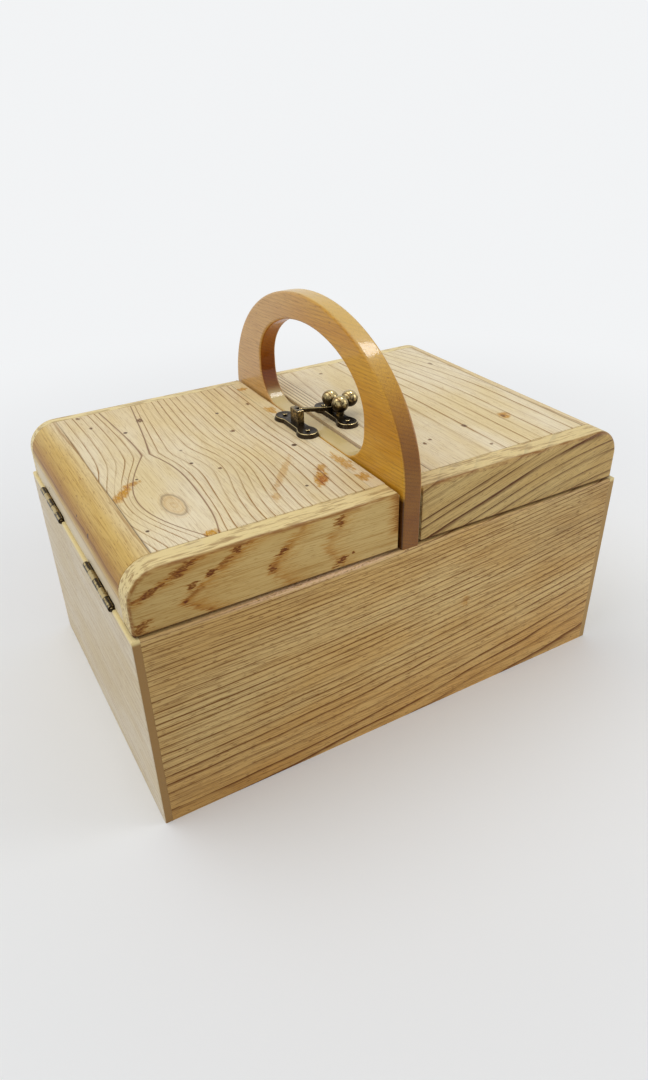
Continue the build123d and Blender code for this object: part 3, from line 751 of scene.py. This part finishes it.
def swept_bar(path, half_wide, half_deep, tip):
    """A bar along a path in the XZ plane: a superellipse that shrinks to nothing over its round tip."""
    along = np.gradient(path, axis=0)
    along /= np.linalg.norm(along, axis=1, keepdims=True)
    deep = np.cross(along, (0, 1, 0))
    travelled = np.concatenate(([0], np.cumsum(np.linalg.norm(np.diff(path, axis=0), axis=1))))
    size = np.sqrt(np.clip(1 - (1 - travelled / tip).clip(0) ** 2, 0.0004, 1))
    wide, tall = (np.sign(part) * np.abs(part) ** 0.6 for part in circle(BAR_SIDES))
    section = (wide * half_wide)[:, None] * np.array((0, 1, 0))
    section = section + (tall * half_deep)[:, None] * deep[:, None, :]
    return path[:, None, :] + section * size[:, None, None]


PLATE_WAIST = 8.6
PIN_DISH = 0.4


def lobed_plate(low, high):
    """A plate with round ends and a narrow waist, its sides sloped, its edge rounded and its pins dished.

    Between its pins its half width is the fourth root of the sum of the fourth powers of the lobes'
    circles and the waist. Rings step from the foot of the edge up its slope and over its rounding to the
    middle line.
    """
    middle, size = (low + high) / 2, high - low
    lobe = size[0] / 2
    reach = size[1] / 2 - lobe
    turn = np.linspace(0, pi, 60)
    along = -(reach + lobe) * np.cos(turn)
    lobes = np.sqrt(np.clip(lobe**2 - np.clip(np.abs(along) - reach, -lobe, None) ** 2, 0, None))
    inside = np.abs(along) < reach
    waist = (PLATE_WAIST / 2) ** 4
    width = np.where(inside, (lobes**4 + waist) ** 0.25 * lobe / (lobe**4 + waist) ** 0.25, lobes)
    outline = np.concatenate((np.stack((width, along), -1), np.stack((-width, along), -1)[::-1]))
    spine = np.stack((np.zeros(len(outline)), np.clip(outline[:, 1], -reach, reach)), -1)
    bend = np.linspace(0, 0.5 * pi, 7)
    shares = np.concatenate(([1, 0.9], 0.9 - 0.1 * (1 - np.cos(bend[1:])), np.linspace(0.72, 0.02, 9)))
    lifts = np.concatenate(([0, 0.75], 0.75 + 0.25 * np.sin(bend[1:]), np.ones(9)))
    places = spine + shares[:, None, None] * (outline - spine)
    pin = np.abs(np.hypot(places[..., 0], np.abs(places[..., 1]) - reach))
    hollow = PIN_DISH * np.exp(-((pin / (0.55 * lobe)) ** 2)) * (lifts > 0.99)[:, None]
    height = lifts[:, None] * size[2] - hollow
    return np.concatenate((places, height[..., None]), -1) + np.array((middle[0], middle[1], LID_TOP))


def rounded_outline(low, high, radii):
    """Points and outward normals of a rectangle with its own radius at each corner.

    It runs anticlockwise from the top right corner: a quarter circle, then points along the straight edge.
    """
    corners = np.array(((high[0], high[1]), (low[0], high[1]), (low[0], low[1]), (high[0], low[1])))
    inward = np.array(((-1, -1), (1, -1), (1, 1), (-1, 1)))
    quarter = np.linspace(0, 0.5 * pi, 20)
    run = np.linspace(0, 1, 50)[1:-1, None]
    points, normals = [], []
    for corner in range(4):
        turn = quarter + corner * 0.5 * pi
        normal = np.stack((np.cos(turn), np.sin(turn)), -1)
        arc = corners[corner] + radii[corner] * (inward[corner] + normal)
        after = (corner + 1) % 4
        start = corners[after] + radii[after] * (inward[after] + normal[-1])
        points += [arc, arc[-1] + (start - arc[-1]) * run]
        normals += [normal, np.repeat(normal[-1:], len(run), 0)]
    return np.concatenate(points), np.concatenate(normals)


CRISP_EDGE = 0.5


def worn_rail(low, high, side, face, ease):
    """A lid's side rail: a rounded outline in the XZ plane carried across it, its outer long edge worn.

    Towards the worn face the outline moves in by ease (1 - cos t) while it moves out by ease (1 - sin t), a
    quarter circle. Two slow sines along the edge vary the wear. The inner end and the foot are hardly worn.
    """
    seed = 2 * side + face
    outer_corner = 1 if side < 0 else 0
    radii = [LID_ROUND if corner == outer_corner else CRISP_EDGE for corner in range(4)]
    outline, normals = rounded_outline((low[0], low[2]), (high[0], high[2]), radii)
    wave = 1 + 0.13 * np.sin(outline[:, 0] / 9 + seed) + 0.08 * np.sin(outline[:, 0] / 3.7 + 2 * seed)
    reach_x = np.where(normals[:, 0] * side > 0, ease, CRISP_EDGE)
    reach_z = np.where(normals[:, 1] > 0, ease * wave, CRISP_EDGE)
    inset = normals * np.stack((reach_x, reach_z), -1)
    bend = np.linspace(0.5 * pi, 0, 10)
    shares = np.concatenate((1 - np.cos(bend), (0, 0.12)))
    worn, plain = (low[1], high[1]) if face < 0 else (high[1], low[1])
    across = np.concatenate((worn - face * ease * (1 - np.sin(bend)), (plain + face * 0.3, plain)))
    places = outline - shares[:, None, None] * inset
    level = np.broadcast_to(across[:, None], places.shape[:2])
    return np.stack((places[..., 0], level, places[..., 1]), -1)


# profiles of the turned brass, radius and height in millimetres, and sizes of the lever's bar
POST_FOOT = ((0.02, 0), (3.15, 0), (3.3, 0.1), (3.3, 0.26), (3.15, 0.35))
POST_NECK = 2.3
KNOB_NECK = 1.6
HUB_RADIUS = 1.3
BAR_HALF_WIDE, BAR_HALF_DEEP, BAR_TIP = 0.9, 1.25, 1.4
NOSE_LIFT = 8.9
ELBOW_LIFT = 0.8


def ball_post(low, high):
    """A turned post: a flange, a hollow curve up to the neck, and a ball."""
    ball = (high[0] - low[0]) / 2
    middle = (low + high) / 2
    curve = np.linspace(0, 0.5 * pi, 8)
    hollow = np.stack((3.1 - 0.9 * np.sin(curve), 0.35 + 1.3 * (1 - np.cos(curve))), -1)
    profile = np.concatenate((POST_FOOT, hollow, ball_arc(ball, high[2] - ball - low[2], POST_NECK)))
    return turned(profile, (middle[0], middle[1], low[2]), (0, 0, 1))


def lever_parts():
    """The lever's hub and bent bar, and its knob, from the boxes of the CAD lever and knob.

    The bar runs from its nose to an elbow over the pivot and down to the knob, with the elbow smoothed by
    a running mean of the height.
    """
    (low, high), (knob_low, knob_high) = (node_box(node) for node in ("latch_lever", "lever_knob"))
    joint = next(joint for joint in frame["joints"] if joint["child"] == "latch_lever")
    pivot = np.array(joint["pos_m"]) / MM
    ball = (knob_high[0] - knob_low[0]) / 2
    centre = (knob_low + knob_high) / 2
    nose = np.array((low[0], pivot[1], LID_TOP + NOSE_LIFT))
    elbow = np.array((pivot[0], pivot[1], pivot[2] + ELBOW_LIFT))
    share = np.linspace(0, 1, 60)[:, None]
    path = np.concatenate((nose + (elbow - nose) * share, elbow + (centre - elbow) * share[1:]))
    padded = np.pad(path[:, 2], 7, mode="reflect", reflect_type="odd")
    path[:, 2] = np.convolve(padded, np.ones(15) / 15, "valid")
    bar = swept_bar(path, BAR_HALF_WIDE, BAR_HALF_DEEP, BAR_TIP)
    half, rim = (high[1] - low[1]) / 2, HUB_RADIUS - 0.15
    hub = ((0.02, -half), (rim, -half), (HUB_RADIUS, 0.15 - half), (HUB_RADIUS, half - 0.15))
    hub = turned((*hub, (rim, half), (0.02, half)), pivot, (0, 1, 0))
    collar = ((0.02, -0.9), (1.7, -0.9), (1.9, -0.6), (1.9, -0.2), (1.6, 0.1))
    collar = [(radius, height - ball) for radius, height in collar]
    knob = turned(np.concatenate((collar, ball_arc(ball, 0, KNOB_NECK))), centre, centre - elbow)
    return hub, bar, knob


# ---- sizes and colours that a user would change ----
def paint(name, description, *display):
    """A colour setting with its default given as a display colour."""
    return FloatVectorProperty(
        name=name, description=description, subtype="COLOR", size=3, min=0.0, max=1.0, default=srgb(*display)
    )


def number(name, description, default, low, high, subtype="NONE", unit="NONE"):
    """A number setting with its limits."""
    return FloatProperty(
        name=name, description=description, default=default, min=low, max=high, subtype=subtype, unit=unit
    )


def watts(name, description, default):
    """A lamp's power setting."""
    return number(name, description, default, 0.0, 200.0, "POWER", "POWER")


class CarrierWood(PropertyGroup):
    """Colours of the wood, and the rails' wear."""

    body_pale: paint("Body, pale", "Early wood of the front and back walls", 0.85, 0.73, 0.49)
    body_warm: paint("Body, warm", "Warmer clouds of the front and back walls", 0.81, 0.66, 0.40)
    body_line: paint("Body, line", "Late wood lines of the walls", 0.45, 0.27, 0.02)
    body_foot: paint("Body, foot", "Amber tint along the foot of the front wall", 0.94, 0.84, 0.66)
    # Painted highlight: the front wall's rounded upper edge drawn paler, as if it caught the light.
    body_top_highlight: paint("Body, top", "Rubbed upper edge of the front wall", 0.90, 0.75, 0.60)
    # On the foot of the end blocks this colour is a painted reflection highlight.
    end_pale: paint("End, pale", "Early wood of the end walls and foot of the end blocks", 0.87, 0.82, 0.72)
    end_warm: paint("End, warm", "Warmer clouds of the end walls", 0.84, 0.77, 0.62)
    end_grain: paint("End grain", "Sawn end grain of the left end wall", 0.59, 0.455, 0.265)
    end_grain_right: paint("End grain, right", "Sawn end grain of the right end wall", 0.66, 0.53, 0.32)
    lid_pale: paint("Lid, pale", "Early wood of the lids", 0.93, 0.875, 0.745)
    lid_warm: paint("Lid, warm", "Warmer clouds of the lids", 0.90, 0.82, 0.62)
    lid_line: paint("Lid, line", "Late wood lines of the lids", 0.59, 0.40, 0.05)
    rail_pale: paint("Rail, pale", "Early wood of the lids' front rails", 0.80, 0.69, 0.45)
    rail_warm: paint("Rail, warm", "Warmer clouds of the front rails", 0.76, 0.63, 0.38)
    rail_line: paint("Rail, line", "Strong lines of the right front rail", 0.35, 0.19, 0.02)
    # Partly worn yellow wood and partly a painted highlight on the rails' rounded top edge.
    edge_worn_highlight: paint("Edge, pale", "Worn yellow edges of the rails", 0.93, 0.85, 0.62)
    edge_brown: paint("Edge, brown", "Streaks on the rails' rounding", 0.55, 0.38, 0.18)
    # Painted shadow in the gap under the lids.
    foot_shadow: paint("Foot line", "Dark line along the foot of the lids' side rails", 0.33, 0.18, 0.05)
    edge_gold: paint(
        "Edge, gold", "Honey gold of the end blocks' rounding and the end walls' top", 0.935, 0.855, 0.61
    )
    edge_low: paint("Edge, low", "Darker band low on the end blocks' rounding", 0.80, 0.69, 0.48)
    handle_pale: paint("Handle, pale", "Early wood of the handle under amber varnish", 0.84, 0.63, 0.20)
    handle_warm: paint("Handle, warm", "Warmer clouds of the handle", 0.78, 0.54, 0.10)
    handle_line: paint("Handle, line", "Lines of the handle", 0.50, 0.29, 0.06)
    handle_cut: paint("Handle, cut", "Sawn end grain of the arch", 0.66, 0.58, 0.46)
    handle_sill: paint("Handle, sill", "Bare wood of the sill under the arch", 0.82, 0.745, 0.52)
    # Partly the rim's own gold and partly a painted highlight where the rim looks up.
    handle_crown_highlight: paint("Handle, crown", "Pale gold along the top of the arch", 0.87, 0.76, 0.44)
    # Painted reflection on the upper part of the handle's faces.
    handle_sheen: paint(
        "Handle, rubbed", "Paler varnish at the top of the handle's faces", 0.83, 0.68, 0.46
    )
    # Partly the amber of the varnish and partly painted shade on the inner rim.
    handle_inner_shade: paint("Handle, inside", "Dark amber of the inner rim", 0.95, 0.80, 0.30)
    knot: paint("Knot", "Inside of a knot", 0.94, 0.86, 0.70)
    stain: paint("Stain", "Orange-brown stains", 0.86, 0.67, 0.08)
    stain_light: paint("Light stain", "Faint stains", 0.90, 0.75, 0.38)
    stain_dark: paint("Dark stain", "Dark brown stains", 0.50, 0.35, 0.12)
    scorch: paint(
        "Scorch", "Scorched arcs of the left front rail, and the lines round the knot", 0.54, 0.33, 0.09
    )
    # Painted shade towards the left end of the front wall and the left front rail, and on the front wall's
    # upper right.
    shade: paint("Shade", "Duller wood towards the ends of the front", 0.93, 0.92, 0.90)
    lid_back: paint("Lid, back", "Yellower wood at the back of the left lid", 0.975, 0.955, 0.91)
    # Painted shade on the handle's faces in the slot between the lids.
    gap: paint("Gap", "Handle's faces inside the slot between the lids", 0.42, 0.34, 0.26)
    speck: paint("Speck", "Small dark specks and the panels' seams", 0.36, 0.25, 0.14)
    rail_wear: number(
        "Rail wear", "How far the rails' long edges are worn round",
        2.6 * MM, 0.5 * MM, 5.0 * MM, "DISTANCE", "LENGTH",
    )


class CarrierBrass(PropertyGroup):
    """Finish of the hinges and the latch."""

    dark: paint("Patina", "Dark patina of the brass", 0.22, 0.18, 0.13)
    # Used for rubbed brass and for the painted highlights on edges and upward faces.
    bright: paint("Rubbed brass", "Bright places of the brass", 0.74, 0.66, 0.47)
    copper: paint("Copper", "Warmer metal of the keeper post", 0.62, 0.54, 0.38)
    roughness: number("Roughness", "Roughness of the brass", 0.22, 0.05, 0.9, "FACTOR")


class CarrierStudio(PropertyGroup):
    """Floor, lamps and camera."""

    floor: paint("Floor", "Colour of the floor and the background", 0.95, 0.955, 0.96)
    key_power: watts("Key power", "Power of the large lamp overhead", 5.2)
    fill_power: watts("Fill power", "Power of the lamp on the front right", 1.7)
    glint_power: watts("Glint power", "Power of the lamp that only shows as glints on the varnish", 3.6)
    sky: number("Sky", "Strength of the even light from all round", 0.6, 0.0, 3.0)
    place: FloatVectorProperty(
        name="Place", description="Place of the camera", subtype="TRANSLATION", unit="LENGTH",
        default=(-0.1836, -0.3342, 0.3017),
    )
    turn: FloatVectorProperty(
        name="Turn", description="Turn of the camera from looking straight down", subtype="EULER",
        default=tuple(radians(angle) for angle in (58.242082, 1.131778, -29.9355)),
    )
    lens: number("Lens", "Focal length on a 36 mm sensor", 25.62, 5.0, 300.0)


# ---- operators ----
def dress(material, *names):
    """Give CAD nodes a material."""
    for name in names:
        mesh = nodes[name].data
        mesh.materials.clear()
        mesh.materials.append(material)


class CARRIER_OT_body(Operator):
    """Finish the walls and the bottom panel"""

    bl_idname = "carrier.body"
    bl_label = "Body"

    def execute(self, context):
        wood = context.scene.carrier_wood
        dress(front_wall_wood(wood), "front_wall")
        dress(back_wall_wood(wood), "back_wall")
        dress(end_wall_wood(wood, 40.0, wood.end_grain), "left_end_wall")
        dress(end_wall_wood(wood, 52.0, wood.end_grain_right), "right_end_wall")
        dress(bottom_panel_wood(wood), "bottom_panel")
        return {"FINISHED"}


class CARRIER_OT_handle(Operator):
    """Finish the handle board"""

    bl_idname = "carrier.handle"
    bl_label = "Handle"

    def execute(self, context):
        dress(handle_wood(context.scene.carrier_wood), "handle_board")
        return {"FINISHED"}


class CARRIER_OT_lids(Operator):
    """Finish the lids' panels, end blocks and inner rails, and make their worn side rails"""

    bl_idname = "carrier.lids"
    bl_label = "Lids"

    def execute(self, context):
        wood = context.scene.carrier_wood
        dress(left_panel_wood(wood), "left_lid_panel")
        dress(right_panel_wood(wood), "right_lid_panel")
        left = (left_rail_wood(wood), back_rail_wood(wood, 61.0))
        right = (right_rail_wood(wood), back_rail_wood(wood, 73.0))
        for lid, side, materials in (("left_lid", -1.0, left), ("right_lid", 1.0, right)):
            dress(end_block_wood(wood, side), f"{lid}_end_block")
            dress(inner_rail_wood(wood, side), f"{lid}_inner_rail")
            for row, face, material in zip(("front", "back"), (-1.0, 1.0), materials):
                node = f"{lid}_{row}_rail"
                rings = worn_rail(*node_box(node), side, face, wood.rail_wear / MM)
                add_piece(f"{lid}_{row}_worn_rail", [rings], lid, [node], material)
        return {"FINISHED"}


class CARRIER_OT_hinges(Operator):
    """Finish the hinges, their pins and their screws"""

    bl_idname = "carrier.hinges"
    bl_label = "Hinges"

    def execute(self, context):
        brass = context.scene.carrier_brass
        # The last three numbers are the wear, the painted highlight on rounded edges and the painted
        # highlight on upward faces.
        dark = antique_brass(brass, "Hinge wall brass", 0.3, 0.2, 0.05, brass.bright)
        bright = antique_brass(brass, "Hinge lid brass", 0.5, 0.2, 0.05, brass.bright)
        for name in nodes:
            if "hinge" in name:
                dress(bright if name.endswith("lid_leaf") else dark, name)
        return {"FINISHED"}


class CARRIER_OT_latch(Operator):
    """Make the latch: plates, ball posts, lever and knob"""

    bl_idname = "carrier.latch"
    bl_label = "Latch"

    def execute(self, context):
        brass = context.scene.carrier_brass
        # The last three numbers are the wear, the painted highlight on rounded edges and the painted
        # highlight on upward faces.
        plate_brass = antique_brass(brass, "Latch plate brass", 0.33, 0.6, -0.1, brass.bright)
        ball_brass = antique_brass(brass, "Latch ball brass", 0.4, 0.0, 0.2, brass.bright)
        dress(plate_brass, "keeper_plate_pins", "latch_plate_pins", "lever_pin")
        dress(antique_brass(brass, "Keeper post brass", 0.46, 0.35, 0.0, brass.copper), "keeper_post")
        for node, body in (("keeper_plate", "left_lid"), ("latch_plate", "right_lid")):
            rings = lobed_plate(*node_box(node))
            add_piece(f"{node}_crowned", [rings], body, [node], plate_brass)
        for node in ("front_ball_post", "back_ball_post"):
            rings = ball_post(*node_box(node))
            add_piece(f"{node}_turned", [rings], "right_lid", [node], ball_brass)
        hub, bar, knob = lever_parts()
        add_piece("latch_lever_bar", [bar, hub], "latch_lever", ["latch_lever"], plate_brass)
        add_piece("lever_knob_turned", [knob], "latch_lever", ["lever_knob"], ball_brass)
        return {"FINISHED"}


def seen_rays(tree):
    """1 for the camera's rays and for reflections, and 0 for the rays that light the box."""
    path = add_node(tree, "LightPath")
    camera, glossy = (Field(tree, path.outputs[f"Is {kind} Ray"]) for kind in ("Camera", "Glossy"))
    return camera.most(glossy)


def mix_shaders(tree, share, low, high, output):
    """End a tree in a mix of two shaders, low where the share is 0 and high where it is 1."""
    both = add_node(tree, "MixShader", {0: share, 1: low.outputs[0], 2: high.outputs[0]})
    add_node(tree, output, {"Surface": both.outputs[0]})


def floor_material(pale):
    """A plain pale floor that turns into the background's own colour away from the box."""
    material = bpy.data.materials.new("Floor")
    tree = empty_tree(material)
    x, y, _ = parts_of(tree, add_node(tree, "TexCoord").outputs["Object"])
    far = span(x, y).smooth(0.2, 0.65)
    lit = add_node(tree, "BsdfDiffuse", {"Color": pale})
    plain = add_node(tree, "Emission", {"Color": pale, "Strength": 1.0})
    mix_shaders(tree, far * seen_rays(tree), lit, plain, "OutputMaterial")
    return material


FLOOR_SIDES = 96
FLOOR_RADIUS = 8.0
FLOOR_LEVEL = -0.0001
LAMP_AIM = (0.0, 0.0, 0.1)


class CARRIER_OT_stage(Operator):
    """Make the floor, the lamps and the even light"""

    bl_idname = "carrier.stage"
    bl_label = "Floor and light"

    def execute(self, context):
        studio = context.scene.carrier_studio
        pale = (*studio.floor, 1.0)
        cosine, sine = circle(FLOOR_SIDES)
        rim = np.stack((FLOOR_RADIUS * cosine, FLOOR_RADIUS * sine, np.full(FLOOR_SIDES, FLOOR_LEVEL)), -1)
        mesh = bpy.data.meshes.new("floor")
        mesh.from_pydata(rim.tolist(), [], [list(range(FLOOR_SIDES))])
        mesh.materials.append(floor_material(pale))
        floor = add_object("floor", mesh)

        # name, power, size, place, and whether it lights the surfaces or only shows in reflections
        for name, energy, size, place, lights in (
            ("key", studio.key_power, 1.1, (-0.45, 0.25, 1.25), True),
            ("fill", studio.fill_power, 0.5, (0.75, -0.45, 0.45), True),
            ("glint", studio.glint_power, 0.3, (0.44, 0.12, 1.13), False),
        ):
            light = bpy.data.lights.new(name, "AREA")
            light.shape = "DISK"
            light.size = size
            light.energy = energy
            lamp = add_object(name, light)
            lamp.location = place
            lamp.rotation_euler = (Vector(LAMP_AIM) - lamp.location).to_track_quat("-Z", "Y").to_euler()
            lamp.visible_diffuse = lights

        world = bpy.data.worlds.new("even light")
        tree = empty_tree(world)
        lit = add_node(tree, "Background", {"Color": (1.0, 1.0, 1.0, 1.0), "Strength": studio.sky})
        back = add_node(tree, "Background", {"Color": pale, "Strength": 1.0})
        mix_shaders(tree, seen_rays(tree), lit, back, "OutputWorld")
        context.scene.world = world
        context.scene.view_settings.view_transform = "Standard"
        return {"FINISHED"}


class CARRIER_OT_camera(Operator):
    """Make the camera"""

    bl_idname = "carrier.camera"
    bl_label = "Camera"

    def execute(self, context):
        studio = context.scene.carrier_studio
        data = bpy.data.cameras.new("camera")
        data.sensor_width = 36.0
        data.lens = studio.lens
        data.clip_start, data.clip_end = 0.01, 50.0
        camera = add_object("camera", data)
        camera.location, camera.rotation_euler = studio.place, studio.turn
        context.scene.camera = camera
        return {"FINISHED"}


class CARRIER_PT_panel(Panel):
    """Lists the carrier's settings and steps"""

    bl_idname = "CARRIER_PT_panel"
    bl_label = "Sewing carrier"
    bl_space_type = "VIEW_3D"
    bl_region_type = "UI"
    bl_category = "Carrier"

    def draw(self, context):
        for group in SETTINGS:
            settings = getattr(context.scene, group)
            box = self.layout.box()
            for name in settings.__annotations__:
                box.prop(settings, name)
        for operator in STEPS:
            self.layout.operator(operator.bl_idname)


STEPS = (
    CARRIER_OT_camera,
    CARRIER_OT_stage,
    CARRIER_OT_body,
    CARRIER_OT_handle,
    CARRIER_OT_lids,
    CARRIER_OT_hinges,
    CARRIER_OT_latch,
)
SETTINGS = {"carrier_wood": CarrierWood, "carrier_brass": CarrierBrass, "carrier_studio": CarrierStudio}


def register():
    """Register the settings, the steps and the panel."""
    for kind in (*SETTINGS.values(), *STEPS, CARRIER_PT_panel):
        bpy.utils.register_class(kind)
    for name, kind in SETTINGS.items():
        setattr(bpy.types.Scene, name, PointerProperty(type=kind))


def unregister():
    """Remove everything that register added."""
    for name in SETTINGS:
        delattr(bpy.types.Scene, name)
    for kind in reversed((*SETTINGS.values(), *STEPS, CARRIER_PT_panel)):
        bpy.utils.unregister_class(kind)


def main():
    """Run every step in order."""
    register()
    for step in STEPS:
        family, name = step.bl_idname.split(".")
        getattr(getattr(bpy.ops, family), name)()


if __name__ == "__main__":
    main()
